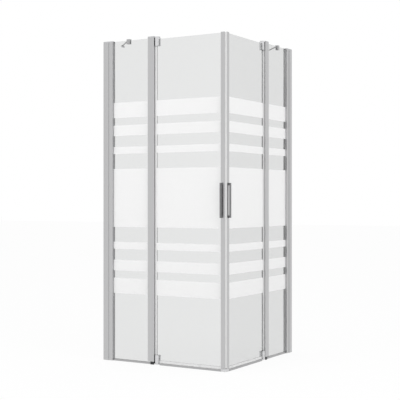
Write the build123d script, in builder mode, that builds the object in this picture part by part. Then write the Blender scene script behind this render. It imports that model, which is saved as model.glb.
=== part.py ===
from build123d import *
import os
from math import sqrt

# A corner shower enclosure with two swing doors. Two equal wings stand at a right angle.
# Each wing runs from a wall to the open corner: wall channel, adjusting profile, fixed pane,
# hinge post, pivot hinges and a glass door whose free edge meets the other door at 45 degrees.
# The right wing is modelled, and the left wing is its mirror image about the corner's diagonal.
# Millimetres, +Z up, origin on the floor at the centre of the footprint.

os.makedirs("parts", exist_ok=True)

# Whole enclosure
wing_length = 862.0        # from the outer corner to the finished wall, along each side
wall_height = 1950.0       # floor to the top of the wall profiles
profile_depth = 30.0       # front to back of the adjusting profiles and hinge posts
glass_thickness = 6.0
extrusion_wall = 1.8       # wall of the hollow aluminium profiles
edge_radius = 1.2          # rounding of the profiles' outer edges

# Clearances
seat_gap = 0.05            # between a fixed piece and the hole that holds it
slide_gap = 0.3            # between pieces that are slid together on site
glass_bed = 0.5            # behind a pane's edge at the bottom of its pocket

# Wall channel and adjusting profile
channel_reach = 38.0       # reach of the wall channel from the wall
channel_wall = 1.9
channel_base = 2.5
wall_hole_radius = 2.75
wall_hole_pitch = 840.0
wall_hole_count = 3
adjusting_show = 29.0      # stretch of the adjusting profile outside the channel
adjusting_hidden = 27.5    # stretch inside the channel
wall_cap_height = 10.0
cap_plug_length = 12.0
lock_screw_inset = 12.0    # from the channel's mouth to its lock screws
lock_screw_pitch = 800.0

# Glazing pockets and gaskets
pocket_depth = 16.0
gasket_thickness = 1.5
gasket_lip = 1.0           # part of each gasket that shows outside its pocket

# Fixed pane and its sill
sill_height = 12.0
sill_lip = 3.0             # lip of the sill on each side of the pane
sill_floor = 3.0

# Hinge post, its cap and its foot
post_side = 492.0          # from the corner to the door side of the post
post_width = 45.0
post_drop = 4.0            # from the wall profiles' top down to the post's end
post_cap_height = 9.0
foot_height = 18.0
foot_length = 27.5
foot_inset = 1.5           # the foot stands back from the post's faces
port_radius = 3.8          # screw ports inside the post
port_inset = 6.6           # from the post's faces to the ports' centres
port_place = 14.0          # from the post's door side to the ports' centres

# Pivot hinges
arm_thickness = 6.0
arm_half_width = 13.0
arm_tail = 25.0            # reach of each arm into the post's cap or foot
arm_lift = 2.0             # bottom arm above the floor
hinge_gap = 0.5            # between a fixed arm and its clamp
knuckle_radius = 18.0
knuckle_gap = 0.6          # between a turning knuckle and the post
clamp_reach = 12.0         # from the pivot to the clamp's edge on the glass
clamp_height = 50.0
clamp_corner = 6.0
top_head_height = 8.0      # clamp's height past the pane's top edge
bottom_head_height = 11.5  # clamp's height past the pane's bottom edge
pad_thickness = 1.0
pad_inset = 1.5
pin_radius = 4.0
pin_reach = 6.0            # length of pin inside the bush
pin_clearance = 0.05       # running fit of the pin in its bush, and of the bush on its arm
pin_chamfer = 0.5
bush_radius = 6.0
bush_length = 7.0
clamp_screw_place = 3.0    # from the pivot to the clamp screws, away from the post
clamp_screw_inset = 11.0   # from the clamp's tip to the nearer screw
clamp_screw_pitch = 17.0
clamp_screw_cover = 4.0    # metal left in front of each clamp screw

# Fasteners
screw_radius = 2.0
screw_head_radius = 3.8
screw_head_height = 1.8
lock_screw_length = 9.0
lock_head_height = 2.4
arm_screw_bite = 11.4      # length of each arm screw inside the post's port
glass_hole_radius = 5.0

# Door pane and seals
glass_overhang = 10.0      # door pane past the pivot, towards the post
seal_skin = 1.2
seal_leg = 5.0
seal_gap = 0.4             # how much smaller the hinge seal's nose is than the knuckle
drip_leg = 6.0
drip_drop = 8.8            # reach of the drip seal below the pane
drip_lip_reach = 8.0
drip_lip_drop = 5.5

# Door edge profile, magnet strip and edge caps
edge_start = 8.0           # from the outer corner to the edge profile's front face
edge_width = 28.0
edge_depth = 21.0
edge_web = 2.0
edge_margin = 1.0          # edge profile past the pane's top and bottom edges
edge_cap_height = 1.5
edge_cap_plug = 6.0
magnet_length = 20.0       # along the corner's diagonal
magnet_gap = 0.3           # from each magnet strip to the diagonal plane
magnet_margin = 2.0

# Handle
handle_length = 200.0
handle_middle = 978.0
handle_width = 12.0
handle_thickness = 7.0
handle_standoff = 7.0
handle_foot = 14.0
handle_rounding = 2.0
handle_screw_reach = 5.0

# Support bar
support_reach = 179.0      # from the wall to the support clamp
support_rise = 1.0         # bar's centre below the wall profiles' top
support_bar_radius = 4.0
support_socket_wall = 2.0
support_insert = 12.0      # start of the bar from the clamp's centre
support_socket_length = 26.0
support_clamp_width = 24.0
support_clamp_depth = 20.0
support_clamp_height = 29.0
support_clamp_top = 7.0    # clamp above the fixed pane's edge
flange_thickness = 4.0
flange_height = 12.0
flange_short = 10.0
flange_long = 26.0
flange_hole_place = 18.0
flange_hole_radius = 2.5
flange_socket_length = 14.0
bar_wall_gap = 10.0        # end of the bar from the wall
grub_radius = 2.0

# Threshold
threshold_height = 10.5
threshold_front = 2.0      # behind the profiles' front faces
threshold_width = 18.0
threshold_slope = 5.0
threshold_lip = 2.5
threshold_wall = 1.5
threshold_joint = 0.5
corner_height = 16.8
corner_chamfer = 6.0

# Depths behind the front faces
glass_mid = profile_depth / 2
glass_front = glass_mid - glass_thickness / 2
glass_back = glass_mid + glass_thickness / 2
pocket_front = glass_front - gasket_thickness
pocket_back = glass_back + gasket_thickness
channel_front = -slide_gap - channel_wall
channel_back = profile_depth + slide_gap + channel_wall

# Distances from the outer corner
channel_mouth = wing_length - channel_reach
adjusting_start = channel_mouth - adjusting_show
adjusting_end = channel_mouth + adjusting_hidden
support_place = wing_length - support_reach
post_far = post_side + post_width
pivot = post_side - knuckle_gap - knuckle_radius
clamp_edge = pivot - clamp_reach
pane_hinge_edge = pivot + glass_overhang
edge_end = edge_start + edge_width
edge_pocket_end = edge_start + glass_back + edge_web
pane_free_edge = edge_pocket_end + glass_bed

# Heights
post_top = wall_height - post_drop
post_cap_top = post_top + post_cap_height
profile_top = wall_height - wall_cap_height
arm_top = arm_lift + arm_thickness
top_clamp_end = post_top - hinge_gap
top_clamp_tip = top_clamp_end - clamp_height
bottom_clamp_end = arm_top + hinge_gap
bottom_clamp_tip = bottom_clamp_end + clamp_height
pane_top = top_clamp_end - top_head_height
pane_bottom = bottom_clamp_end + bottom_head_height
edge_top = pane_top + edge_margin
edge_bottom = pane_bottom - edge_margin
bar_height = wall_height - support_rise

# The outer corner stands on the diagonal, so that the footprint is centred on the origin
handle_reach = handle_standoff + handle_thickness
face = (wing_length - handle_reach) / 2
along = Vector(0, 1, 0)
inward = Vector(-1, 0, 0)
diagonal = Plane(origin=(0, 0, 0), z_dir=(1, 1, 0))


def level(z):
    """Plan at height z: x is the distance from the corner, y the depth behind the face."""
    return Plane(origin=(face, -face, z), x_dir=along, z_dir=(0, 0, 1))


def facing(depth):
    """Elevation at a depth: x is the distance from the corner, y the height, normal outward."""
    return Plane(origin=(face - depth, -face, 0), x_dir=along, z_dir=(1, 0, 0))


def backing(depth):
    """Elevation at a depth, from inside: x is minus the distance, y the height, normal inward."""
    return Plane(origin=(face - depth, -face, 0), x_dir=-along, z_dir=inward)


def across(distance):
    """Cross-section at a distance: x is the depth, y the height, normal towards the wall."""
    return Plane(origin=(face, -face + distance, 0), x_dir=inward, z_dir=(0, 1, 0))


def bar_plane(reach):
    """Plane square to the support bar, at a reach along it from the clamp's centre."""
    step = reach / sqrt(2)
    centre = (face - glass_mid - step, -face + support_place + step, bar_height)
    return Plane(origin=centre, x_dir=(0, 0, 1), z_dir=(-1, 1, 0))


def area(start, end, front, back, mode=Mode.ADD):
    """Rectangle in a plan sketch, between two distances and two depths."""
    with Locations(((start + end) / 2, (front + back) / 2)):
        Rectangle(end - start, back - front, mode=mode)


def block(start, end, front, back, bottom, top, mode=Mode.ADD):
    """Box between two distances, two depths and two heights."""
    with BuildSketch(level(bottom)) as plan:
        area(start, end, front, back)
    extrude(plan.sketch, amount=top - bottom, mode=mode)


def rod(plane, x, y, radius, length, mode=Mode.ADD):
    """Cylinder that rises from a plane along its normal."""
    with BuildSketch(plane) as circle:
        with Locations((x, y)):
            Circle(radius)
    extrude(circle.sketch, amount=length, mode=mode)


def screw(seat, x, y, length, gap=0.0, mode=Mode.ADD):
    """Countersunk screw, flush with its seat and pointing against the seat's normal."""
    with BuildSketch(seat) as rim:
        with Locations((x, y)):
            Circle(screw_head_radius + gap)
    with BuildSketch(seat.offset(-screw_head_height)) as neck:
        with Locations((x, y)):
            Circle(screw_radius + gap)
    loft([rim.sketch.face(), neck.sketch.face()], mode=mode)
    rod(seat.offset(-length), x, y, screw_radius + gap, length - screw_head_height, mode)


def glazing_pocket(mouth, inner):
    """Cuts a pane's pocket, and a hollow on each side of it, into a profile's section."""
    low = min(mouth, inner)
    high = max(mouth, inner)
    skin = extrusion_wall if mouth > inner else -extrusion_wall
    hollow_low = min(mouth - skin, inner)
    hollow_high = max(mouth - skin, inner)
    area(low, high, pocket_front, pocket_back, Mode.SUBTRACT)
    area(hollow_low, hollow_high, extrusion_wall, pocket_front - extrusion_wall, Mode.SUBTRACT)
    hollow_back = profile_depth - extrusion_wall
    area(hollow_low, hollow_high, pocket_back + extrusion_wall, hollow_back, Mode.SUBTRACT)


def save(piece, name):
    """Writes one node."""
    piece.label = name
    export_step(piece, "parts/" + name + ".step")


def save_pair(piece, name):
    """Writes a piece of the right wing and its mirror image on the left wing."""
    save(piece, "right_" + name)
    with BuildPart() as twin:
        mirror(piece, about=diagonal)
    save(twin.part, "left_" + name)


# Wall channel: an aluminium U screwed to the wall through its base
wall_hole_heights = []
for index in range(wall_hole_count):
    step = index - (wall_hole_count - 1) / 2
    wall_hole_heights.append(profile_top / 2 + step * wall_hole_pitch)
lock_screw_heights = [profile_top / 2 + step * lock_screw_pitch for step in (-1, 0, 1)]
lock_place = channel_mouth + lock_screw_inset

with BuildPart() as wall_channel:
    block(channel_mouth, wing_length, channel_front, channel_back, 0, profile_top)
    outer_edges = wall_channel.edges().filter_by(Axis.Z)
    fillet(outer_edges.group_by(Axis.Y)[0], edge_radius / 2)
    cavity_front = channel_front + channel_wall
    cavity_back = channel_back - channel_wall
    cavity_end = wing_length - channel_base
    block(channel_mouth, cavity_end, cavity_front, cavity_back, 0, profile_top, Mode.SUBTRACT)
    for height in wall_hole_heights:
        rod(across(cavity_end), glass_mid, height, wall_hole_radius, channel_base, Mode.SUBTRACT)
    for height in lock_screw_heights:
        gap_radius = screw_radius + seat_gap
        rod(facing(channel_back), lock_place, height, gap_radius, channel_wall, Mode.SUBTRACT)
save_pair(wall_channel.part, "wall_channel")

# Adjusting profile: a hollow box that slides in the channel and holds the fixed pane
adjusting_pocket = adjusting_start + pocket_depth
adjusting_chamber = adjusting_pocket + extrusion_wall

with BuildPart() as adjusting_profile:
    with BuildSketch(level(0)):
        area(adjusting_start, adjusting_end, 0, profile_depth)
        fillet(vertices(), edge_radius)
        inner_end = adjusting_end - extrusion_wall
        inner_back = profile_depth - extrusion_wall
        area(adjusting_chamber, inner_end, extrusion_wall, inner_back, Mode.SUBTRACT)
        glazing_pocket(adjusting_start, adjusting_pocket)
    extrude(amount=profile_top)
    for height in lock_screw_heights:
        gap_radius = screw_radius + seat_gap
        rod(facing(profile_depth), lock_place, height, gap_radius, extrusion_wall, Mode.SUBTRACT)
save_pair(adjusting_profile.part, "adjusting_profile")

# Caps on the wall profiles: one moulding over both profiles, with a plug and a pane slot
with BuildPart() as wall_profile_caps:
    block(channel_mouth, wing_length, channel_front, channel_back, profile_top, wall_height)
    block(adjusting_start, channel_mouth, 0, profile_depth, profile_top, wall_height)
    fillet(wall_profile_caps.edges().group_by(Axis.Z)[-1], edge_radius)
    slot_end = adjusting_pocket + slide_gap
    slot_front = glass_front - slide_gap
    slot_back = glass_back + slide_gap
    slot_top = post_top + slide_gap
    block(adjusting_start, slot_end, slot_front, slot_back, profile_top, slot_top, Mode.SUBTRACT)
    plug_start = adjusting_chamber + slide_gap
    plug_end = adjusting_end - extrusion_wall - slide_gap
    plug_front = extrusion_wall + slide_gap
    plug_back = profile_depth - plug_front
    plug_bottom = profile_top - cap_plug_length
    block(plug_start, plug_end, plug_front, plug_back, plug_bottom, profile_top)
    mirror(about=diagonal)
save(wall_profile_caps.part, "wall_profile_caps")

# Lock screws: they hold the adjusting profile in the channel once it is plumb
with BuildPart() as profile_lock_screws:
    for height in lock_screw_heights:
        rod(facing(channel_back), lock_place, height, screw_radius, lock_screw_length)
        head_plane = facing(channel_back + lock_head_height)
        rod(head_plane, lock_place, height, screw_head_radius, lock_head_height)
    mirror(about=diagonal)
save(profile_lock_screws.part, "profile_lock_screws")

# Fixed pane: toughened glass between the adjusting profile and the hinge post
fixed_pane_start = post_far - pocket_depth + glass_bed
fixed_pane_end = adjusting_pocket - glass_bed

with BuildPart() as fixed_glass:
    block(fixed_pane_start, fixed_pane_end, glass_front, glass_back, sill_floor, post_top)
save_pair(fixed_glass.part, "fixed_glass")

# Glazing gaskets: two strips at each upright edge of each fixed pane
with BuildPart() as glazing_gaskets:
    for front in (pocket_front, glass_back):
        back = front + gasket_thickness
        gasket_start = adjusting_start - gasket_lip
        block(gasket_start, fixed_pane_end, front, back, sill_height, profile_top)
        block(fixed_pane_start, post_far + gasket_lip, front, back, foot_height, post_top)
    mirror(about=diagonal)
save(glazing_gaskets.part, "glazing_gaskets")

# Sill: a slim aluminium channel that the fixed pane stands in
foot_end = post_side + foot_length

with BuildPart() as fixed_sill:
    sill_front = glass_front - slide_gap - sill_lip
    sill_back = glass_back + slide_gap + sill_lip
    block(foot_end, adjusting_start, sill_front, sill_back, 0, sill_height)
    upper_edges = fixed_sill.edges().filter_by(Axis.Y).group_by(Axis.Z)[-1]
    fillet(upper_edges, edge_radius)
    groove_front = glass_front - slide_gap
    groove_back = glass_back + slide_gap
    block(foot_end, adjusting_start, groove_front, groove_back, sill_floor, sill_height, Mode.SUBTRACT)
save_pair(fixed_sill.part, "fixed_sill")

# Hinge post: a hollow aluminium upright with two screw ports and the fixed pane's pocket
post_chamber = post_side + extrusion_wall
post_pocket = post_far - pocket_depth
post_chamber_end = post_pocket - extrusion_wall
port_distance = post_side + port_place
port_depths = (port_inset, profile_depth - port_inset)

with BuildPart() as hinge_post:
    with BuildSketch(level(foot_height)):
        area(post_side, post_far, 0, profile_depth)
        fillet(vertices(), edge_radius)
        inner_back = profile_depth - extrusion_wall
        area(post_chamber, post_chamber_end, extrusion_wall, inner_back, Mode.SUBTRACT)
        glazing_pocket(post_far, post_pocket)
        web_start = port_distance - extrusion_wall
        web_end = port_distance + extrusion_wall
        area(web_start, web_end, 0, port_inset)
        area(web_start, web_end, profile_depth - port_inset, profile_depth)
        for depth in port_depths:
            with Locations((port_distance, depth)):
                Circle(port_radius)
        for depth in port_depths:
            with Locations((port_distance, depth)):
                Circle(screw_radius + seat_gap, mode=Mode.SUBTRACT)
    extrude(amount=post_top - foot_height)
save_pair(hinge_post.part, "hinge_post")

# Hinge arms: steel plates screwed to the post's ends, each holding a pivot pin
arm_end = post_side + arm_tail


def hinge_arm(bottom, screw_seat, screws_down):
    """Plate with a round nose about the pivot, a pin hole and two countersunk screw holes."""
    arm_front = glass_mid - arm_half_width
    arm_back = glass_mid + arm_half_width
    with BuildPart() as arm:
        with BuildSketch(level(bottom)) as outline:
            with Locations((pivot, glass_mid)):
                Circle(arm_half_width)
            area(pivot, arm_end, arm_front, arm_back)
        extrude(outline.sketch, amount=arm_thickness)
        rod(level(bottom), pivot, glass_mid, pin_radius + seat_gap, arm_thickness, Mode.SUBTRACT)
        for depth in port_depths:
            y = depth if screws_down else -depth
            screw(screw_seat, port_distance, y, arm_thickness, seat_gap, Mode.SUBTRACT)
    return arm.part


top_seat = level(post_top + arm_thickness)
bottom_seat = Plane(origin=(face, -face, arm_lift), x_dir=along, z_dir=(0, 0, -1))
save_pair(hinge_arm(post_top, top_seat, True), "top_hinge_arm")
save_pair(hinge_arm(arm_lift, bottom_seat, False), "bottom_hinge_arm")

# Arm screws: they fix each arm to the screw ports inside the post
with BuildPart() as arm_screws:
    top_screw_length = arm_thickness + arm_screw_bite
    bottom_screw_length = foot_height - arm_lift + arm_screw_bite
    for depth in port_depths:
        screw(top_seat, port_distance, depth, top_screw_length)
        screw(bottom_seat, port_distance, -depth, bottom_screw_length)
    mirror(about=diagonal)
save(arm_screws.part, "arm_screws")

# Hinge pins: pressed into the arms, they carry and guide the doors
pin_length = arm_thickness + hinge_gap + pin_reach

with BuildPart() as hinge_pins:
    rod(level(post_top - hinge_gap - pin_reach), pivot, glass_mid, pin_radius, pin_length)
    rod(level(arm_lift), pivot, glass_mid, pin_radius, pin_length)
    chamfer(hinge_pins.edges().filter_by(GeomType.CIRCLE), pin_chamfer)
    mirror(about=diagonal)
save(hinge_pins.part, "hinge_pins")

# Post caps: mouldings over the top arms, closing the posts
with BuildPart() as post_caps:
    block(post_side, post_far, 0, profile_depth, post_top, post_cap_top)
    fillet(post_caps.edges().filter_by(Axis.Z), edge_radius)
    fillet(post_caps.edges().group_by(Axis.Z)[-1], edge_radius / 2)
    slot_front = glass_mid - arm_half_width - slide_gap
    slot_back = glass_mid + arm_half_width + slide_gap
    slot_top = post_top + arm_thickness + slide_gap
    slot_end = arm_end + slide_gap
    block(post_side, slot_end, slot_front, slot_back, post_top, slot_top, Mode.SUBTRACT)
    mirror(about=diagonal)
save(post_caps.part, "post_caps")

# Post foot: a moulded foot under the post, round the bottom arm, with a plug up into the post
with BuildPart() as post_foot:
    foot_back = profile_depth - foot_inset
    block(post_side, foot_end, foot_inset, foot_back, 0, foot_height)
    fillet(post_foot.edges().filter_by(Axis.Z), edge_radius)
    slot_front = glass_mid - arm_half_width - slide_gap
    slot_back = glass_mid + arm_half_width + slide_gap
    slot_end = arm_end + slide_gap
    block(post_side, slot_end, slot_front, slot_back, 0, arm_top, Mode.SUBTRACT)
    plug_start = port_distance + port_radius + slide_gap
    plug_end = post_chamber_end - slide_gap
    plug_front = extrusion_wall + slide_gap
    plug_back = profile_depth - plug_front
    plug_top = foot_height + cap_plug_length
    block(plug_start, plug_end, plug_front, plug_back, foot_height, plug_top)
    for depth in port_depths:
        hole_radius = screw_radius + seat_gap
        rod(level(0), port_distance, depth, hole_radius, foot_height, Mode.SUBTRACT)
save_pair(post_foot.part, "post_foot")

# Glass clamps: each hinge grips the door pane between two chromed halves with a round knuckle
clamp_grip = glass_thickness / 2 + pad_thickness
clamp_screw_distance = pivot - clamp_screw_place
top_screw_heights = [top_clamp_tip + clamp_screw_inset + step * clamp_screw_pitch for step in (0, 1)]
bottom_screw_heights = [bottom_clamp_tip - clamp_screw_inset - step * clamp_screw_pitch for step in (0, 1)]
clamp_screw_length = profile_depth - clamp_screw_cover


def clamp_half(end, tip, pane_edge, screw_heights, outer):
    """Half of a glass clamp from its end at the arm to its tip on the pane."""
    bottom = min(end, tip)
    top = max(end, tip)
    knuckle_end = pivot + knuckle_radius
    with BuildPart() as half:
        with BuildSketch(level(bottom)) as outline:
            with Locations((pivot, glass_mid)):
                Circle(knuckle_radius)
            area(clamp_edge, pivot, 0, profile_depth)
            area(clamp_edge, knuckle_end, 0, profile_depth, Mode.INTERSECT)
        extrude(outline.sketch, amount=top - bottom)
        with BuildSketch(facing(profile_depth)) as front:
            area(clamp_edge, knuckle_end, bottom, top)
            tip_corners = vertices().group_by(Axis.Y)[0 if tip < end else -1]
            fillet(tip_corners, clamp_corner)
        extrude(front.sketch, amount=profile_depth, mode=Mode.INTERSECT)
        slot_end = pane_hinge_edge + glass_bed
        slot_edge = pane_edge + (glass_bed if end > tip else -glass_bed)
        slot_bottom = min(tip, slot_edge)
        slot_top = max(tip, slot_edge)
        slot_front = glass_mid - clamp_grip
        slot_back = glass_mid + clamp_grip
        block(clamp_edge, slot_end, slot_front, slot_back, slot_bottom, slot_top, Mode.SUBTRACT)
        bush_bottom = end - bush_length if end > tip else end
        seat_radius = bush_radius + seat_gap
        rod(level(bush_bottom), pivot, glass_mid, seat_radius, bush_length, Mode.SUBTRACT)
        for height in screw_heights:
            seat = backing(profile_depth)
            screw(seat, -clamp_screw_distance, height, clamp_screw_length, seat_gap, Mode.SUBTRACT)
        if outer:
            block(clamp_edge, knuckle_end, glass_mid, profile_depth, bottom, top, Mode.SUBTRACT)
        else:
            block(clamp_edge, knuckle_end, 0, glass_mid, bottom, top, Mode.SUBTRACT)
    return half.part


for side, outer in (("outer", True), ("inner", False)):
    top_half = clamp_half(top_clamp_end, top_clamp_tip, pane_top, top_screw_heights, outer)
    save_pair(top_half, "top_clamp_" + side)
    bottom_half = clamp_half(bottom_clamp_end, bottom_clamp_tip, pane_bottom, bottom_screw_heights, outer)
    save_pair(bottom_half, "bottom_clamp_" + side)

# Hinge bushes: plastic sleeves that turn on the pins and stand proud of the clamps, so that
# the bottom one carries the door on its arm
with BuildPart() as hinge_bushes:
    bush_height = bush_length + hinge_gap - pin_clearance
    for bottom in (top_clamp_end - bush_length, arm_top + pin_clearance):
        rod(level(bottom), pivot, glass_mid, bush_radius, bush_height)
        bore_radius = pin_radius + pin_clearance
        rod(level(bottom), pivot, glass_mid, bore_radius, bush_height, Mode.SUBTRACT)
save_pair(hinge_bushes.part, "hinge_bushes")

# Clamp pads: soft sheets between the clamps and the pane
with BuildPart() as clamp_pads:
    pad_start = clamp_edge + pad_inset
    pad_end = pane_hinge_edge
    for front in (glass_front - pad_thickness, glass_back):
        back = front + pad_thickness
        block(pad_start, pad_end, front, back, top_clamp_tip + pad_inset, pane_top)
        block(pad_start, pad_end, front, back, pane_bottom, bottom_clamp_tip - pad_inset)
    for height in top_screw_heights + bottom_screw_heights:
        hole_radius = screw_radius + slide_gap
        rod(facing(profile_depth), clamp_screw_distance, height, hole_radius, profile_depth, Mode.SUBTRACT)
save_pair(clamp_pads.part, "clamp_pads")

# Door pane: toughened glass with holes for the clamp screws
with BuildPart() as door_glass:
    block(pane_free_edge, pane_hinge_edge, glass_front, glass_back, pane_bottom, pane_top)
    for height in top_screw_heights + bottom_screw_heights:
        rod(facing(glass_back), clamp_screw_distance, height, glass_hole_radius, glass_thickness, Mode.SUBTRACT)
save_pair(door_glass.part, "door_glass")

# Hinge seal: clear strip clipped on the pane's edge, its nose rounded about the pivot
seal_front = glass_front - seal_skin
seal_back = glass_back + seal_skin
seal_nose_radius = knuckle_radius - seal_gap

with BuildPart() as door_hinge_seal:
    with BuildSketch(level(bottom_clamp_tip + slide_gap)):
        area(pane_hinge_edge - seal_leg, pivot + seal_nose_radius, seal_front, seal_back)
        with Locations((pivot, glass_mid)):
            Circle(seal_nose_radius, mode=Mode.INTERSECT)
        area(pane_hinge_edge - seal_leg, pane_hinge_edge, glass_front, glass_back, Mode.SUBTRACT)
        bulb_start = pane_hinge_edge + seal_skin
        bulb_end = pivot + seal_nose_radius - 2 * seal_skin
        area(bulb_start, bulb_end, glass_front, glass_back, Mode.SUBTRACT)
    extrude(amount=top_clamp_tip - bottom_clamp_tip - 2 * slide_gap)
save_pair(door_hinge_seal.part, "door_hinge_seal")

# Drip seal: clear strip on the pane's bottom edge, with an upright blade and an inner lip
drip_start = edge_end + slide_gap
drip_end = clamp_edge - slide_gap
drip_roof = pane_bottom - seal_skin
drip_tip = pane_bottom - drip_drop

with BuildPart() as door_drip_seal:
    with BuildSketch(across(drip_start)):
        for front in (seal_front, glass_back):
            area(front, front + seal_skin, drip_roof, pane_bottom + drip_leg)
        area(seal_front, seal_back, drip_roof, pane_bottom)
        area(seal_front, glass_front, drip_tip, drip_roof)
        with BuildLine():
            lip_end = seal_back + drip_lip_reach
            lip_low = drip_roof - drip_lip_drop
            Polyline(
                (glass_back, drip_roof),
                (lip_end, lip_low),
                (lip_end, lip_low + seal_skin),
                (seal_back, drip_roof + seal_skin),
                (glass_back, drip_roof + seal_skin),
                close=True,
            )
        make_face()
    extrude(amount=drip_end - drip_start)
save_pair(door_drip_seal.part, "door_drip_seal")

# Door edge profile: aluminium on the pane's free edge, with a 45 degree side for the magnet
edge_slope_skin = extrusion_wall * sqrt(2)
handle_end = edge_end
handle_start = handle_end - handle_width
handle_centre = (handle_start + handle_end) / 2
handle_bottom = handle_middle - handle_length / 2
handle_top = handle_middle + handle_length / 2
handle_screw_heights = (handle_bottom + handle_foot / 2, handle_top - handle_foot / 2)

with BuildPart() as door_edge_profile:
    with BuildSketch(level(edge_bottom)):
        with BuildLine():
            Polyline(
                (edge_end, 0),
                (edge_start, 0),
                (edge_start + edge_depth, edge_depth),
                (edge_end, edge_depth),
                close=True,
            )
        make_face()
        fillet(vertices().group_by(Axis.Y)[0], edge_radius)
        pane_front = glass_front - seat_gap
        pane_back = glass_back + seat_gap
        area(edge_pocket_end, edge_end, pane_front, pane_back, Mode.SUBTRACT)
        chamber_back = pane_front - extrusion_wall
        chamber_start = edge_start + edge_slope_skin
        with BuildLine():
            Polyline(
                (edge_end - extrusion_wall, extrusion_wall),
                (chamber_start + extrusion_wall, extrusion_wall),
                (chamber_start + chamber_back, chamber_back),
                (edge_end - extrusion_wall, chamber_back),
                close=True,
            )
        make_face(mode=Mode.SUBTRACT)
    extrude(amount=edge_top - edge_bottom)
    for height in handle_screw_heights:
        hole_radius = screw_radius + seat_gap
        rod(facing(extrusion_wall), handle_centre, height, hole_radius, extrusion_wall, Mode.SUBTRACT)
save_pair(door_edge_profile.part, "door_edge_profile")

# Edge caps: thin plates with plugs that close the edge profile's ends
with BuildPart() as edge_profile_caps:
    plug_front = extrusion_wall + slide_gap
    plug_back = chamber_back - slide_gap
    plug_start = chamber_start + plug_back
    plug_end = edge_end - extrusion_wall - slide_gap
    for plate_bottom, plug_bottom in (
        (edge_top, edge_top - edge_cap_plug),
        (edge_bottom - edge_cap_height, edge_bottom),
    ):
        with BuildSketch(level(plate_bottom)) as plate:
            with BuildLine():
                Polyline(
                    (edge_end, 0),
                    (edge_start, 0),
                    (edge_start + edge_depth, edge_depth),
                    (edge_end, edge_depth),
                    close=True,
                )
            make_face()
            fillet(vertices().group_by(Axis.Y)[0], edge_radius)
        extrude(plate.sketch, amount=edge_cap_height)
        plug_top = plug_bottom + edge_cap_plug
        block(plug_start, plug_end, plug_front, plug_back, plug_bottom, plug_top)
save_pair(edge_profile_caps.part, "edge_profile_caps")

# Magnet strip: it lies on the 45 degree side, and meets the other door's strip
with BuildPart() as magnet_strip:
    with BuildSketch(level(edge_bottom + magnet_margin)):
        thickness = edge_start / sqrt(2) - magnet_gap
        step = thickness / sqrt(2)
        run = magnet_length / sqrt(2)
        with BuildLine():
            Polyline(
                (edge_start, 0),
                (edge_start - step, step),
                (edge_start - step + run, step + run),
                (edge_start + run, run),
                close=True,
            )
        make_face()
        fillet(vertices().group_by(Axis.X)[0], edge_radius)
    extrude(amount=edge_top - edge_bottom - 2 * magnet_margin)
save_pair(magnet_strip.part, "magnet_strip")

# Handle: an upright bar on two feet, screwed to the edge profile's front face
with BuildPart() as handle:
    block(handle_start, handle_end, -handle_reach, 0, handle_bottom, handle_top)
    fillet(handle.edges().filter_by(Axis.Z).group_by(Axis.X)[-1], handle_rounding)
    gap_bottom = handle_bottom + handle_foot
    gap_top = handle_top - handle_foot
    block(handle_start, handle_end, -handle_standoff, 0, gap_bottom, gap_top, Mode.SUBTRACT)
    for height in handle_screw_heights:
        hole_radius = screw_radius + seat_gap
        rod(facing(0), handle_centre, height, hole_radius, handle_screw_reach, Mode.SUBTRACT)
save_pair(handle.part, "handle")

# Door screws: four through each door's clamps and two into its handle
with BuildPart() as door_screws:
    for height in top_screw_heights + bottom_screw_heights:
        screw(backing(profile_depth), -clamp_screw_distance, height, clamp_screw_length)
    for height in handle_screw_heights:
        head_plane = facing(extrusion_wall + lock_head_height)
        rod(head_plane, handle_centre, height, screw_head_radius, lock_head_height)
        shank_length = extrusion_wall + handle_screw_reach
        rod(facing(extrusion_wall), handle_centre, height, screw_radius, shank_length)
save_pair(door_screws.part, "door_screws")

# Support clamp: it sits on the fixed pane's top edge and holds the bar in a socket
socket_radius = support_bar_radius + support_socket_wall
clamp_top = post_top + support_clamp_top
clamp_bottom = clamp_top - support_clamp_height
clamp_start = support_place - support_clamp_width / 2
clamp_end = support_place + support_clamp_width / 2
clamp_front = glass_mid - support_clamp_depth / 2
clamp_back = glass_mid + support_clamp_depth / 2
grub_reach = (support_insert + support_socket_length) / 2
grub_step = grub_reach / sqrt(2)
pinch_height = (clamp_bottom + post_top) / 2

with BuildPart() as support_clamp:
    block(clamp_start, clamp_end, clamp_front, clamp_back, clamp_bottom, clamp_top)
    fillet(support_clamp.edges().filter_by(Axis.Z), edge_radius)
    rod(bar_plane(0), 0, 0, socket_radius, support_socket_length)
    bore_length = support_socket_length - support_insert
    bore_radius = support_bar_radius + seat_gap
    rod(bar_plane(support_insert), 0, 0, bore_radius, bore_length, Mode.SUBTRACT)
    slot_front = glass_front - slide_gap
    slot_back = glass_back + slide_gap
    block(clamp_start, clamp_end, slot_front, slot_back, clamp_bottom, post_top, Mode.SUBTRACT)
    grub_hole = grub_radius + seat_gap
    grub_distance = support_place + grub_step
    grub_depth = glass_mid + grub_step
    rod(level(bar_height), grub_distance, grub_depth, grub_hole, socket_radius, Mode.SUBTRACT)
    pinch_length = clamp_back - slot_back
    rod(facing(clamp_back), support_place, pinch_height, grub_hole, pinch_length, Mode.SUBTRACT)
save_pair(support_clamp.part, "support_clamp")

# Support bar: a round bar at 45 degrees from the clamp to the wall
bar_end_reach = (support_reach - bar_wall_gap) * sqrt(2)

with BuildPart() as support_bar:
    rod(bar_plane(support_insert), 0, 0, support_bar_radius, bar_end_reach - support_insert)
save_pair(support_bar.part, "support_bar")

# Support flanges: wall plates with a slanted socket and one screw hole each
wall_reach = support_reach * sqrt(2)
flange_depth = glass_mid + support_reach
flange_front = flange_depth - flange_short
flange_back = flange_depth + flange_long
flange_start = wing_length - flange_thickness
flange_bottom = bar_height - flange_height / 2
flange_top = bar_height + flange_height / 2

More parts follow.
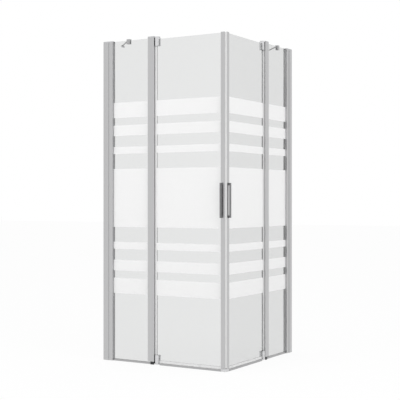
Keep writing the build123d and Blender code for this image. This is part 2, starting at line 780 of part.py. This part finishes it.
with BuildPart() as support_flanges:
    block(flange_start, wing_length, flange_front, flange_back, flange_bottom, flange_top)
    fillet(support_flanges.edges().filter_by(Axis.Y), edge_radius)
    socket_start = bar_end_reach - flange_socket_length
    rod(bar_plane(socket_start), 0, 0, socket_radius, wall_reach - socket_start + socket_radius)
    spare = 4 * socket_radius
    low = flange_bottom - spare
    high = flange_top + spare
    block(wing_length, wing_length + spare, flange_front - spare, flange_back, low, high, Mode.SUBTRACT)
    rod(bar_plane(socket_start), 0, 0, support_bar_radius + seat_gap, flange_socket_length, Mode.SUBTRACT)
    hole_depth = flange_depth + flange_hole_place
    rod(across(flange_start), hole_depth, bar_height, flange_hole_radius, flange_thickness, Mode.SUBTRACT)
    flange_grub_step = (bar_end_reach - flange_socket_length / 2) / sqrt(2)
    flange_grub_distance = support_place + flange_grub_step
    flange_grub_depth = glass_mid + flange_grub_step
    rod(level(bar_height), flange_grub_distance, flange_grub_depth, grub_hole, socket_radius, Mode.SUBTRACT)
    mirror(about=diagonal)
save(support_flanges.part, "support_flanges")

# Support screws: grub screws that pinch the pane and lock the bar at both ends
with BuildPart() as support_screws:
    bar_top = bar_height + support_bar_radius + seat_gap
    grub_length = support_socket_wall - seat_gap
    rod(level(bar_top), grub_distance, grub_depth, grub_radius, grub_length)
    rod(level(bar_top), flange_grub_distance, flange_grub_depth, grub_radius, grub_length)
    rod(facing(clamp_back), support_place, pinch_height, grub_radius, clamp_back - glass_back)
    mirror(about=diagonal)
save(support_screws.part, "support_screws")

# Threshold: a low hollow aluminium strip under each door, clear of the turning bottom clamp
threshold_back = threshold_front + threshold_width
threshold_start = edge_end + threshold_joint
clamp_sweep = sqrt(clamp_reach**2 + glass_mid**2)
threshold_end = pivot - clamp_sweep - threshold_joint

with BuildPart() as threshold:
    with BuildSketch(across(threshold_start)):
        with BuildLine():
            Polyline(
                (threshold_front, 0),
                (threshold_front, threshold_lip),
                (threshold_front + threshold_slope, threshold_height),
                (threshold_back, threshold_height),
                (threshold_back, 0),
                close=True,
            )
        make_face()
        hollow_front = threshold_front + threshold_slope
        hollow_back = threshold_back - threshold_wall
        area(hollow_front, hollow_back, 0, threshold_height - threshold_wall, Mode.SUBTRACT)
    extrude(amount=threshold_end - threshold_start)
save_pair(threshold.part, "threshold")

# Threshold corner: one moulding under both edge profiles, joining the two thresholds
with BuildPart() as threshold_corner:
    with BuildSketch(level(0)):
        area(threshold_front, edge_end, threshold_front, threshold_back)
        area(threshold_front, threshold_back, threshold_front, edge_end)
        outer_vertex = vertices().sort_by(lambda point: point.X + point.Y)[0]
        chamfer(outer_vertex, corner_chamfer)
    extrude(amount=corner_height)
    fillet(threshold_corner.edges().group_by(Axis.Z)[-1], edge_radius)
save(threshold_corner.part, "threshold_corner")
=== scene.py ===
import math

import bpy
from mathutils import Matrix, Vector


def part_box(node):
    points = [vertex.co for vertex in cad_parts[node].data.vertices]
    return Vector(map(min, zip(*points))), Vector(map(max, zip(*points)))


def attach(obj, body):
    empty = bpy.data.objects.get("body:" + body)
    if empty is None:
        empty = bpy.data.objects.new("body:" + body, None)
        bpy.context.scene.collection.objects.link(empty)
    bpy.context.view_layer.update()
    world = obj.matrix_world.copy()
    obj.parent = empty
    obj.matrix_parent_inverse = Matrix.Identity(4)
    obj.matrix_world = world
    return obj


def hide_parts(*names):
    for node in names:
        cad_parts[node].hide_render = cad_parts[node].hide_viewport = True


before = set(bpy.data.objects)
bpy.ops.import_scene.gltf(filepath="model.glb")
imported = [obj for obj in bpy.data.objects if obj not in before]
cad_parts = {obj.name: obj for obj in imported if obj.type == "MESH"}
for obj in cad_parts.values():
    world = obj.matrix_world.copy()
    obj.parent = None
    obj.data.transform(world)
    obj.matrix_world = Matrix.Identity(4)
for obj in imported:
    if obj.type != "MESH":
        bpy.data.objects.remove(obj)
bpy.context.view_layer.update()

# The camera stands level in front of the entry corner, a little to its right, where the
# photograph was taken from. Its place is given from the outer corner of the two wings.
corner_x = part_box("right_hinge_post")[1].x
corner_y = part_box("left_hinge_post")[0].y
camera_turn = math.radians(30.8)
camera_distance = 5.53
camera_left = 0.149
camera_height = 0.98
camera_lens = 87.5
film_width = 36

forward = Vector((-math.sin(camera_turn), math.cos(camera_turn), 0))
sideways = Vector((math.cos(camera_turn), math.sin(camera_turn), 0))
camera_place = Vector((corner_x, corner_y, camera_height))
camera_place -= forward * camera_distance + sideways * camera_left
bpy.ops.object.camera_add(location=camera_place, rotation=(math.pi / 2, 0, camera_turn))
camera = bpy.context.active_object
camera.name = "photograph_camera"
camera.data.lens = camera_lens
camera.data.sensor_width = film_width
bpy.context.scene.camera = camera
bpy.context.scene.view_settings.view_transform = "Standard"

# Wall channels and adjusting profiles: aluminium extrusions, satin anodised after drawing.
# The channel is screwed to the wall, and the adjusting profile slides in it and is locked
# by screws. Their fine drawn lines run along the length.
aluminium_light = (0.555, 0.555, 0.56, 1)
aluminium_dark = (0.525, 0.525, 0.53, 1)
upright = (1200, 1200, 1.5)
along_x = (1.5, 1200, 1200)
along_y = (1200, 1.5, 1200)
drawn_rough = (0.30, 0.36)
drawn_relief = 0.000004


def pattern(tree, stretch, detail=2.0):
    """Noise in the piece's own coordinates, with one scale for each axis."""
    place = tree.nodes.new("ShaderNodeTexCoord")
    scaled = tree.nodes.new("ShaderNodeMapping")
    scaled.inputs["Scale"].default_value = stretch
    noise = tree.nodes.new("ShaderNodeTexNoise")
    noise.inputs["Scale"].default_value = 1.0
    noise.inputs["Detail"].default_value = detail
    tree.links.new(place.outputs["Object"], scaled.inputs["Vector"])
    tree.links.new(scaled.outputs["Vector"], noise.inputs["Vector"])
    return noise.outputs["Fac"]


def between(tree, value, low, high):
    """Spreads a noise over the range from low to high."""
    spread = tree.nodes.new("ShaderNodeMapRange")
    spread.inputs["From Min"].default_value = 0.3
    spread.inputs["From Max"].default_value = 0.7
    spread.inputs["To Min"].default_value = low
    spread.inputs["To Max"].default_value = high
    tree.links.new(value, spread.inputs["Value"])
    return spread.outputs["Result"]


def two_tones(tree, value, dark, light):
    """Blends two colours by a noise."""
    tones = tree.nodes.new("ShaderNodeValToRGB")
    tones.color_ramp.elements[0].position = 0.35
    tones.color_ramp.elements[0].color = dark
    tones.color_ramp.elements[1].position = 0.65
    tones.color_ramp.elements[1].color = light
    tree.links.new(value, tones.inputs["Fac"])
    return tones.outputs["Color"]


def relief(tree, value, height):
    """Fine surface relief of a height in metres."""
    bump = tree.nodes.new("ShaderNodeBump")
    bump.inputs["Distance"].default_value = height
    tree.links.new(value, bump.inputs["Height"])
    return bump.outputs["Normal"]


def surface(name, dark, light, stretch, rough, height, metal=0.0):
    """A finish with two close tones, a roughness range and a relief, all from one noise."""
    finish = bpy.data.materials.new(name)
    finish.use_nodes = True
    tree = finish.node_tree
    shader = tree.nodes["Principled BSDF"]
    noise = pattern(tree, stretch)
    shader.inputs["Metallic"].default_value = metal
    tree.links.new(two_tones(tree, noise, dark, light), shader.inputs["Base Color"])
    tree.links.new(between(tree, noise, *rough), shader.inputs["Roughness"])
    tree.links.new(relief(tree, noise, height), shader.inputs["Normal"])
    return finish


def anodised(name, dark, light, stretch):
    """Satin anodised aluminium, its drawn lines along the axis with the low scale."""
    return surface(name, dark, light, stretch, drawn_rough, drawn_relief, 1.0)


def dress(node, finish):
    """Gives a CAD node its finish."""
    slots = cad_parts[node].data.materials
    slots.clear()
    slots.append(finish)


upright_aluminium = anodised("upright_aluminium", aluminium_dark, aluminium_light, upright)
for side in ("left", "right"):
    dress(side + "_wall_channel", upright_aluminium)
    dress(side + "_adjusting_profile", upright_aluminium)

# Lock screws: stainless pan heads with a cross recess, on the inner face of each channel.
# One is turned from a cylinder, and its recess is cut by two crossed bars.
steel_light = (0.60, 0.60, 0.61, 1)
steel_dark = (0.50, 0.50, 0.51, 1)
steel_grain = (900, 900, 900)
steel_rough = (0.2, 0.32)
steel_relief = 0.000004
stainless_steel = surface(
    "stainless_steel", steel_dark, steel_light, steel_grain, steel_rough, steel_relief, 1.0
)
recess_width = 0.0009
recess_length = 0.0044
recess_depth = 0.0012
head_rounding = 0.0008
weld_reach = 0.000002
corner_angle = math.radians(40)
smooth_angle = math.radians(35)
across_corner = Matrix(((0, -1, 0, 0), (-1, 0, 0, 0), (0, 0, 1, 0), (0, 0, 0, 1)))


def add_block(name, low, high):
    """A block between two corners, with its place in its mesh."""
    bpy.ops.object.select_all(action="DESELECT")
    middle = [(a + b) / 2 for a, b in zip(low, high)]
    size = [b - a for a, b in zip(low, high)]
    bpy.ops.mesh.primitive_cube_add(size=1, location=middle, scale=size)
    bpy.ops.object.transform_apply(location=True, rotation=True, scale=True)
    piece = bpy.context.active_object
    piece.name = name
    piece.data.name = name
    return piece


def add_round(name, radius, low, high, steps=40):
    """A round bar on the Z axis, from one height to another."""
    bpy.ops.object.select_all(action="DESELECT")
    middle = (0, 0, (low + high) / 2)
    length = high - low
    bpy.ops.mesh.primitive_cylinder_add(
        vertices=steps, radius=radius, depth=length, location=middle
    )
    bpy.ops.object.transform_apply(location=True, rotation=True, scale=True)
    piece = bpy.context.active_object
    piece.name = name
    piece.data.name = name
    return piece


def joined(name, pieces):
    """Joins pieces into one object."""
    bpy.ops.object.select_all(action="DESELECT")
    for piece in pieces:
        piece.select_set(True)
    bpy.context.view_layer.objects.active = pieces[0]
    bpy.ops.object.join()
    pieces[0].name = name
    pieces[0].data.name = name
    return pieces[0]


def only(piece):
    """Selects one piece and makes it active."""
    bpy.ops.object.select_all(action="DESELECT")
    piece.select_set(True)
    bpy.context.view_layer.objects.active = piece


def cut(piece, *cutters):
    """Cuts the shapes out of a piece and removes them."""
    for cutter in cutters:
        only(piece)
        bpy.ops.object.modifier_add(type="BOOLEAN")
        piece.modifiers[-1].object = cutter
        piece.modifiers[-1].operation = "DIFFERENCE"
        bpy.ops.object.modifier_apply(modifier=piece.modifiers[-1].name)
        bpy.data.objects.remove(cutter)
    return piece


def rounded(piece, width, steps=2):
    """Rounds the sharp edges of a piece and smooths its shading."""
    only(piece)
    bpy.ops.object.modifier_add(type="BEVEL")
    piece.modifiers[-1].width = width
    piece.modifiers[-1].segments = steps
    piece.modifiers[-1].limit_method = "ANGLE"
    piece.modifiers[-1].angle_limit = corner_angle
    bpy.ops.object.modifier_apply(modifier=piece.modifiers[-1].name)
    bpy.ops.object.shade_smooth_by_angle(angle=smooth_angle)
    return piece


def copy_at(piece, name, matrix):
    """A copy of a piece with its own mesh, moved by a matrix."""
    twin = bpy.data.objects.new(name, piece.data.copy())
    bpy.context.scene.collection.objects.link(twin)
    twin.data.transform(matrix)
    if matrix.determinant() < 0:
        only(twin)
        bpy.ops.object.mode_set(mode="EDIT")
        bpy.ops.mesh.select_all(action="SELECT")
        bpy.ops.mesh.remove_doubles(threshold=weld_reach)
        bpy.ops.mesh.normals_make_consistent(inside=False)
        bpy.ops.object.mode_set(mode="OBJECT")
    return twin


def fit(piece, body, slot, finish, *stands_for):
    """Gives a new piece its finish, its body and the CAD nodes that it stands for."""
    piece.data.materials.clear()
    piece.data.materials.append(finish)
    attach(piece, body)
    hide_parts(*stands_for)
    return piece


def cross_recess(top):
    """Two crossed bars that cut a screw's recess down from a height on the Z axis."""
    half_length = recess_length / 2
    half_width = recess_width / 2
    low = top - recess_depth
    high = top + recess_depth
    first = add_block(
        "recess_bar", (-half_length, -half_width, low), (half_length, half_width, high)
    )
    second = add_block(
        "recess_bar", (-half_width, -half_length, low), (half_width, half_length, high)
    )
    return first, second


head_radius = 0.0038
head_height = 0.0024
shank_radius = 0.002
shank_length = 0.0088
pan_head = rounded(add_round("pan_head", head_radius, 0, head_height), head_rounding, 3)
cut(pan_head, *cross_recess(head_height))
pan_shank = add_round("pan_shank", shank_radius, -shank_length, 0, 20)
pan_screw = joined("pan_screw", [pan_head, pan_shank])

screw_box_low, screw_box_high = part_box("profile_lock_screws")
channel_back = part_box("right_wall_channel")[0].x
lock_line = screw_box_high.y - head_radius
lock_heights = [screw_box_low.z + head_radius, screw_box_high.z - head_radius]
lock_heights.append(sum(lock_heights) / 2)
face_inward = Matrix.Rotation(-math.pi / 2, 4, "Y")
lock_screws = []
for height in lock_heights:
    place = Matrix.Translation((channel_back, lock_line, height)) @ face_inward
    lock_screws.append(copy_at(pan_screw, "lock_screw", place))
    lock_screws.append(copy_at(pan_screw, "lock_screw", across_corner @ place))
lock_screws = joined("lock_screws", lock_screws)
fit(lock_screws, "enclosure_frame", "stainless_steel", stainless_steel, "profile_lock_screws")
bpy.data.objects.remove(pan_screw)

# Caps on the wall profiles and on the hinge posts: moulded in light grey plastic with a
# fine spark-eroded texture, pushed into the profiles' ends.
plastic_light = (0.48, 0.48, 0.49, 1)
plastic_dark = (0.44, 0.44, 0.45, 1)
spark_grain = (1400, 1400, 1400)
spark_relief = 0.00002
moulded_rough = (0.42, 0.55)
grey_plastic = surface(
    "grey_plastic", plastic_dark, plastic_light, spark_grain, moulded_rough, spark_relief
)
soft_edge = 0.0004
flat_angle = math.radians(1)


def welded_copy(node, name):
    """A copy of a CAD node, its loose triangles welded into whole faces."""
    piece = bpy.data.objects.new(name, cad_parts[node].data.copy())
    bpy.context.scene.collection.objects.link(piece)
    only(piece)
    bpy.ops.object.mode_set(mode="EDIT")
    bpy.ops.mesh.select_all(action="SELECT")
    bpy.ops.mesh.customdata_custom_splitnormals_clear()
    bpy.ops.mesh.remove_doubles(threshold=weld_reach)
    bpy.ops.mesh.dissolve_limited(angle_limit=flat_angle)
    bpy.ops.object.mode_set(mode="OBJECT")
    return piece


def softened(node, name, body, slot, finish):
    """Stands a copy of a CAD node, its edges softly rounded, in for the node."""
    return fit(rounded(welded_copy(node, name), soft_edge), body, slot, finish, node)


softened("wall_profile_caps", "wall_cap_mouldings", "enclosure_frame", "grey_plastic", grey_plastic)
softened("post_caps", "post_cap_mouldings", "enclosure_frame", "grey_plastic", grey_plastic)

# Panes: toughened glass 6 mm thick, with polished edges and the faint roller waves of the
# furnace. Each is held in the profiles' pockets, or between the clamps. Seen at a slant, a
# pane has more glass in the line of sight and looks a little darker.
glass_rough = 0.02
glass_index = 1.5
roller_waves = (0.5, 0.5, 4.0)
roller_relief = 0.00004
glass_tint = (0.785, 0.79, 0.788, 1)
glass_face_on = (0.825, 0.83, 0.828, 1)
glass_edge_on = (0.50, 0.505, 0.503, 1)


def clear_glass(name):
    """Glass that lamps shine through, so that it throws hardly any shadow."""
    finish = bpy.data.materials.new(name)
    finish.use_nodes = True
    tree = finish.node_tree
    glass = tree.nodes["Principled BSDF"]
    slant = tree.nodes.new("ShaderNodeLayerWeight")
    slant.inputs["Blend"].default_value = 0.5
    tint = tree.nodes.new("ShaderNodeValToRGB")
    tint.color_ramp.elements[0].color = glass_face_on
    tint.color_ramp.elements[1].color = glass_edge_on
    tree.links.new(slant.outputs["Facing"], tint.inputs["Fac"])
    tree.links.new(tint.outputs["Color"], glass.inputs["Base Color"])
    glass.inputs["Transmission Weight"].default_value = 1.0
    glass.inputs["Roughness"].default_value = glass_rough
    glass.inputs["IOR"].default_value = glass_index
    waves = pattern(tree, roller_waves, 0.0)
    tree.links.new(relief(tree, waves, roller_relief), glass.inputs["Normal"])
    rays = tree.nodes.new("ShaderNodeLightPath")
    lit = tree.nodes.new("ShaderNodeBsdfTransparent")
    lit.inputs["Color"].default_value = glass_tint
    mix = tree.nodes.new("ShaderNodeMixShader")
    tree.links.new(rays.outputs["Is Shadow Ray"], mix.inputs["Fac"])
    tree.links.new(glass.outputs["BSDF"], mix.inputs[1])
    tree.links.new(lit.outputs["BSDF"], mix.inputs[2])
    tree.links.new(mix.outputs["Shader"], tree.nodes["Material Output"].inputs["Surface"])
    return finish


pane_glass = clear_glass("pane_glass")
for side in ("left", "right"):
    dress(side + "_fixed_glass", pane_glass)
    dress(side + "_door_glass", pane_glass)

# Printed bands: white ceramic ink, screen printed on the outer face of every pane and fired
# with the glass. Three narrower bands lie above and three below one broad middle band.
# The ink stands a hair off the glass, so that its back also catches the light.
ink_light = (0.91, 0.91, 0.91, 1)
ink_dark = (0.87, 0.87, 0.87, 1)
ink_thickness = 0.0001
ink_gap = 0.00005
band_centre = 0.993
middle_band = 0.353
clear_steps = (0.091, 0.0665, 0.045)
band_steps = (0.043, 0.065, 0.0935)
print_margin = 0.0003
strip_lip = 0.001
ink_cover = 0.9

ceramic_ink = surface("ceramic_ink", ink_dark, ink_light, (700, 700, 700), (0.5, 0.65), 0.00001)
ceramic_ink.node_tree.nodes["Principled BSDF"].inputs["Alpha"].default_value = ink_cover


def printed_bands(name, pane, start, end):
    """Every band of one pane, as a thin layer on the pane's outer face."""
    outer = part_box(pane)[1].x
    spans = [(-middle_band / 2, middle_band / 2)]
    reach = middle_band / 2
    for gap, width in zip(clear_steps, band_steps):
        spans.append((reach + gap, reach + gap + width))
        spans.append((-reach - gap - width, -reach - gap))
        reach += gap + width
    bands = []
    for low, high in spans:
        corner_low = (outer + ink_gap, start + print_margin, band_centre + low)
        corner_high = (outer + ink_gap + ink_thickness, end - print_margin, band_centre + high)
        bands.append(add_block("band", corner_low, corner_high))
    return rounded(joined(name, bands), ink_thickness / 4, 1)


door_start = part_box("right_door_edge_profile")[1].y
door_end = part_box("right_door_hinge_seal")[0].y
fixed_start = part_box("right_hinge_post")[1].y + strip_lip
fixed_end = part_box("right_adjusting_profile")[0].y - strip_lip
for part, start, end in (("door", door_start, door_end), ("fixed", fixed_start, fixed_end)):
    right_bands = printed_bands("right_" + part + "_bands", "right_" + part + "_glass", start, end)
    left_bands = copy_at(right_bands, "left_" + part + "_bands", across_corner)
    for side, bands in (("right", right_bands), ("left", left_bands)):
        carrier = side + "_door" if part == "door" else "enclosure_frame"
        bands.data.materials.append(ceramic_ink)
        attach(bands, carrier)

# Glazing strips: grey rubber, pushed into the pockets on both faces of each fixed pane.
# Their edges are softly rounded where they lie on the glass.
rubber_light = (0.62, 0.62, 0.63, 1)
rubber_dark = (0.56, 0.56, 0.57, 1)
rubber_grain = (500, 500, 60)
rubber_rough = (0.6, 0.75)
rubber_relief = 0.00002
grey_rubber = surface(
    "grey_rubber", rubber_dark, rubber_light, rubber_grain, rubber_rough, rubber_relief
)
strip_rounding = 0.0005
glazing_strips = rounded(welded_copy("glazing_gaskets", "glazing_strips"), strip_rounding, 3)
fit(glazing_strips, "enclosure_frame", "grey_rubber", grey_rubber, "glazing_gaskets")

# Sills and thresholds: slim aluminium extrusions that lie on the tray, the sills under the
# fixed panes and the thresholds under the doors. One moulded piece joins the thresholds.
sill_light = (0.45, 0.45, 0.455, 1)
sill_dark = (0.41, 0.41, 0.415, 1)
for side, stretch in (("left", along_x), ("right", along_y)):
    sill_aluminium = anodised(side + "_sill_aluminium", sill_dark, sill_light, stretch)
    dress(side + "_fixed_sill", sill_aluminium)
    dress(side + "_threshold", sill_aluminium)
pale_light = (0.66, 0.66, 0.67, 1)
pale_dark = (0.62, 0.62, 0.63, 1)
pale_plastic = surface(
    "pale_plastic", pale_dark, pale_light, spark_grain, moulded_rough, spark_relief
)
softened("threshold_corner", "corner_moulding", "enclosure_frame", "grey_plastic", pale_plastic)

# Hinge posts and their feet: the posts are hollow extrusions, and the feet are moulded in
# black plastic round the bottom hinge arms.
black_light = (0.030, 0.030, 0.032, 1)
black_dark = (0.018, 0.018, 0.020, 1)
black_rough = (0.4, 0.55)
black_plastic = surface(
    "black_plastic", black_dark, black_light, spark_grain, black_rough, spark_relief
)
for side in ("left", "right"):
    dress(side + "_hinge_post", upright_aluminium)
    foot = side + "_foot_moulding"
    softened(side + "_post_foot", foot, "enclosure_frame", "black_plastic", black_plastic)

# Hinge arms, pins and bushes: the arms are chromed steel plates screwed into the posts'
# ends, the pins are pressed into them, and white nylon bushes turn on the pins.
chrome_light = (0.70, 0.70, 0.71, 1)
chrome_dark = (0.64, 0.64, 0.65, 1)
nylon_light = (0.74, 0.72, 0.66, 1)
nylon_dark = (0.68, 0.66, 0.60, 1)
chrome_grain = (90, 90, 90)
chrome_rough = (0.06, 0.12)
chrome_relief = 0.000002
polished_chrome = surface(
    "polished_chrome", chrome_dark, chrome_light, chrome_grain, chrome_rough, chrome_relief, 1.0
)
white_nylon = surface("white_nylon", nylon_dark, nylon_light, (800, 800, 800), (0.35, 0.5), 0.00001)
dress("arm_screws", stainless_steel)
dress("hinge_pins", stainless_steel)
for side in ("left", "right"):
    for end in ("top", "bottom"):
        node = side + "_" + end + "_hinge_arm"
        softened(node, node + "_plate", "enclosure_frame", "polished_chrome", polished_chrome)
    dress(side + "_hinge_bushes", white_nylon)

# Glass clamps: zinc castings, ground and chromed, in two halves with the pane and its soft
# pads between them. Their edges are broken by polishing.
vinyl_light = (0.90, 0.90, 0.90, 1)
vinyl_dark = (0.86, 0.86, 0.86, 1)
soft_vinyl = surface("soft_vinyl", vinyl_dark, vinyl_light, (60, 60, 8), (0.25, 0.4), 0.00001)
vinyl_cover = 0.9
soft_vinyl.node_tree.nodes["Principled BSDF"].inputs["Alpha"].default_value = vinyl_cover
clamp_rounding = 0.0007
for side in ("left", "right"):
    for half in ("top_clamp_outer", "top_clamp_inner", "bottom_clamp_outer", "bottom_clamp_inner"):
        node = side + "_" + half
        clamp = rounded(welded_copy(node, node + "_casting"), clamp_rounding, 3)
        fit(clamp, side + "_door", "polished_chrome", polished_chrome, node)
    dress(side + "_clamp_pads", soft_vinyl)
    dress(side + "_door_screws", stainless_steel)

# Door seals: clear vinyl extrusions pushed on the pane's edges, one rounded about the pivot
# and one that sweeps over the threshold.
for side in ("left", "right"):
    dress(side + "_door_hinge_seal", soft_vinyl)
    dress(side + "_door_drip_seal", soft_vinyl)

# Edge profiles, their caps and the magnet strips: each door's free edge is a hollow
# extrusion with a 45 degree side, which carries a pale vinyl strip with a magnet inside.
magnet_light = (0.70, 0.70, 0.70, 1)
magnet_dark = (0.66, 0.66, 0.66, 1)
magnet_grain = (300, 300, 20)
magnet_rough = (0.4, 0.5)
magnet_relief = 0.00001
magnet_vinyl = surface(
    "magnet_vinyl", magnet_dark, magnet_light, magnet_grain, magnet_rough, magnet_relief
)
for side in ("left", "right"):
    dress(side + "_door_edge_profile", upright_aluminium)
    caps = side + "_edge_cap_mouldings"
    softened(side + "_edge_profile_caps", caps, side + "_door", "grey_plastic", grey_plastic)
    dress(side + "_magnet_strip", magnet_vinyl)

# Handles: a flat upright bar on two short feet, cut from one piece, brushed along its
# length and dark chromed, screwed to the edge profile from behind.
handle_light = (0.25, 0.25, 0.255, 1)
handle_dark = (0.20, 0.20, 0.205, 1)
handle_low, handle_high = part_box("right_handle")
handle_bar = 0.007
handle_foot = 0.014
handle_rounding = 0.0016
brushed_grain = (1200, 1200, 12)
brushed_rough = (0.22, 0.32)
brushed_relief = 0.000004
dark_chrome = surface(
    "dark_chrome", handle_dark, handle_light, brushed_grain, brushed_rough, brushed_relief, 1.0
)


def extrude_faces(piece, chosen, move):
    """Extrudes the faces that a test chooses by their centre and normal."""
    only(piece)
    bpy.ops.object.mode_set(mode="EDIT")
    bpy.ops.mesh.select_mode(type="FACE")
    bpy.ops.mesh.select_all(action="DESELECT")
    bpy.ops.object.mode_set(mode="OBJECT")
    for face in piece.data.polygons:
        face.select = chosen(face.center, face.normal)
    bpy.ops.object.mode_set(mode="EDIT")
    bpy.ops.mesh.extrude_region_move(TRANSFORM_OT_translate={"value": move})
    bpy.ops.object.mode_set(mode="OBJECT")
    return piece


def slice_at(piece, point, normal):
    """Cuts a loop of edges round a piece where a plane crosses it."""
    only(piece)
    bpy.ops.object.mode_set(mode="EDIT")
    bpy.ops.mesh.select_all(action="SELECT")
    bpy.ops.mesh.bisect(plane_co=point, plane_no=normal)
    bpy.ops.object.mode_set(mode="OBJECT")
    return piece


bar_low = (handle_high.x - handle_bar, handle_low.y, handle_low.z)
right_handle = add_block("right_handle_bar", bar_low, handle_high)
slice_at(right_handle, (0, 0, handle_low.z + handle_foot), (0, 0, 1))
slice_at(right_handle, (0, 0, handle_high.z - handle_foot), (0, 0, 1))


def is_foot(centre, normal):
    at_end = min(centre.z - handle_low.z, handle_high.z - centre.z) < handle_foot
    return at_end and normal.x < -0.9


extrude_faces(right_handle, is_foot, (handle_low.x - handle_high.x + handle_bar, 0, 0))
rounded(right_handle, handle_rounding, 4)
left_handle = copy_at(right_handle, "left_handle_bar", across_corner)
fit(right_handle, "right_door", "polished_chrome", dark_chrome, "right_handle")
fit(left_handle, "left_door", "polished_chrome", dark_chrome, "left_handle")

# Support bars: each fixed pane is braced to its wall by a round chromed bar, which is held
# in a clamp on the pane's top edge and in a flange on the wall.
bar_light = (0.45, 0.45, 0.455, 1)
bar_dark = (0.40, 0.40, 0.405, 1)
socket_rounding = 0.0006
bar_grain = (120, 120, 120)
bar_rough = (0.14, 0.22)
bar_relief = 0.000003
bar_chrome = surface("bar_chrome", bar_dark, bar_light, bar_grain, bar_rough, bar_relief, 1.0)
for side in ("left", "right"):
    node = side + "_support_clamp"
    clamp = rounded(welded_copy(node, node + "_casting"), socket_rounding, 3)
    fit(clamp, "enclosure_frame", "polished_chrome", bar_chrome, node)
    rod = side + "_brace_rod"
    softened(side + "_support_bar", rod, "enclosure_frame", "polished_chrome", dark_chrome)
softened("support_flanges", "brace_flanges", "enclosure_frame", "polished_chrome", polished_chrome)
dress("support_screws", stainless_steel)

# Floor and light: a white studio with a pale floor, a broad soft lamp on each side of the
# camera and an even white surround. The floor keeps the object's soft shadow.
floor_colour = (0.94, 0.94, 0.94, 1)
floor_glow = 0.92
surround_light = 0.82
floor_size = 60
floor_drop = 0.0005
lamp_size = 3.0
white = (1, 1, 1, 1)


def seen_directly(tree):
    """One for rays from the camera, off metal or through glass, and nought for lighting."""
    rays = tree.nodes.new("ShaderNodeLightPath")
    total = tree.nodes.new("ShaderNodeMath")
    total.operation = "ADD"
    both = tree.nodes.new("ShaderNodeMath")
    both.operation = "ADD"
    both.use_clamp = True
    tree.links.new(rays.outputs["Is Camera Ray"], total.inputs[0])
    tree.links.new(rays.outputs["Is Glossy Ray"], total.inputs[1])
    tree.links.new(total.outputs["Value"], both.inputs[0])
    tree.links.new(rays.outputs["Is Transmission Ray"], both.inputs[1])
    return both.outputs["Value"]


bpy.ops.object.select_all(action="DESELECT")
bpy.ops.mesh.primitive_plane_add(size=floor_size, location=(0, 0, -floor_drop))
floor = bpy.context.active_object
floor.name = "studio_floor"
floor_finish = bpy.data.materials.new("studio_floor")
floor_finish.use_nodes = True
tree = floor_finish.node_tree
matt = tree.nodes["Principled BSDF"]
matt.inputs["Base Color"].default_value = floor_colour
matt.inputs["Roughness"].default_value = 1.0
matt.inputs["Specular IOR Level"].default_value = 0.0
glow = tree.nodes.new("ShaderNodeEmission")
glow.inputs["Color"].default_value = white
share = tree.nodes.new("ShaderNodeMath")
share.operation = "MULTIPLY"
share.inputs[1].default_value = floor_glow
mix = tree.nodes.new("ShaderNodeMixShader")
tree.links.new(seen_directly(tree), share.inputs[0])
tree.links.new(share.outputs["Value"], mix.inputs["Fac"])
tree.links.new(matt.outputs["BSDF"], mix.inputs[1])
tree.links.new(glow.outputs["Emission"], mix.inputs[2])
tree.links.new(mix.outputs["Shader"], tree.nodes["Material Output"].inputs["Surface"])
floor.data.materials.append(floor_finish)

world = bpy.data.worlds.new("studio_surround")
bpy.context.scene.world = world
world.use_nodes = True
tree = world.node_tree
lighting = tree.nodes["Background"]
lighting.inputs["Color"].default_value = white
lighting.inputs["Strength"].default_value = surround_light
backdrop = tree.nodes.new("ShaderNodeBackground")
backdrop.inputs["Color"].default_value = white
backdrop.inputs["Strength"].default_value = 1.0
mix = tree.nodes.new("ShaderNodeMixShader")
tree.links.new(seen_directly(tree), mix.inputs["Fac"])
tree.links.new(lighting.outputs["Background"], mix.inputs[1])
tree.links.new(backdrop.outputs["Background"], mix.inputs[2])
tree.links.new(mix.outputs["Shader"], tree.nodes["World Output"].inputs["Surface"])

target = Vector((0, 0, 0.9))
for name, place, power in (
    ("left_lamp", (-1.8, -5.2, 3.2), 70),
    ("right_lamp", (5.2, -1.4, 3.0), 70),
):
    away = target - Vector(place)
    turn = away.to_track_quat("-Z", "Y").to_euler()
    bpy.ops.object.light_add(type="AREA", location=place, rotation=turn)
    lamp = bpy.context.active_object
    lamp.name = name
    lamp.data.energy = power
    lamp.data.shape = "DISK"
    lamp.data.size = lamp_size
    lamp.visible_glossy = False
    lamp.visible_transmission = False

# A dark flag stands behind the enclosure, so that its round chrome shows a darker side.
# It shows in reflections alone.
flag_grey = (0.16, 0.16, 0.16, 1)
flag_place = Vector((0.6, 3.45, 1.6))
flag_width = 0.8
flag_height = 3.2
flag_cloth = bpy.data.materials.new("flag_cloth")
flag_cloth.use_nodes = True
tree = flag_cloth.node_tree
dull = tree.nodes.new("ShaderNodeEmission")
dull.inputs["Color"].default_value = flag_grey
tree.links.new(dull.outputs["Emission"], tree.nodes["Material Output"].inputs["Surface"])
away = Vector((0, 0, flag_place.z)) - flag_place
turn = away.to_track_quat("Z", "Y").to_euler()
bpy.ops.object.select_all(action="DESELECT")
bpy.ops.mesh.primitive_plane_add(size=1, location=flag_place, rotation=turn)
flag = bpy.context.active_object
flag.name = "rear_flag"
flag.scale = (flag_width, flag_height, 1)
bpy.ops.object.transform_apply(location=True, rotation=True, scale=True)
flag.data.materials.append(flag_cloth)
flag.visible_camera = False
flag.visible_diffuse = False
flag.visible_transmission = False
flag.visible_shadow = False
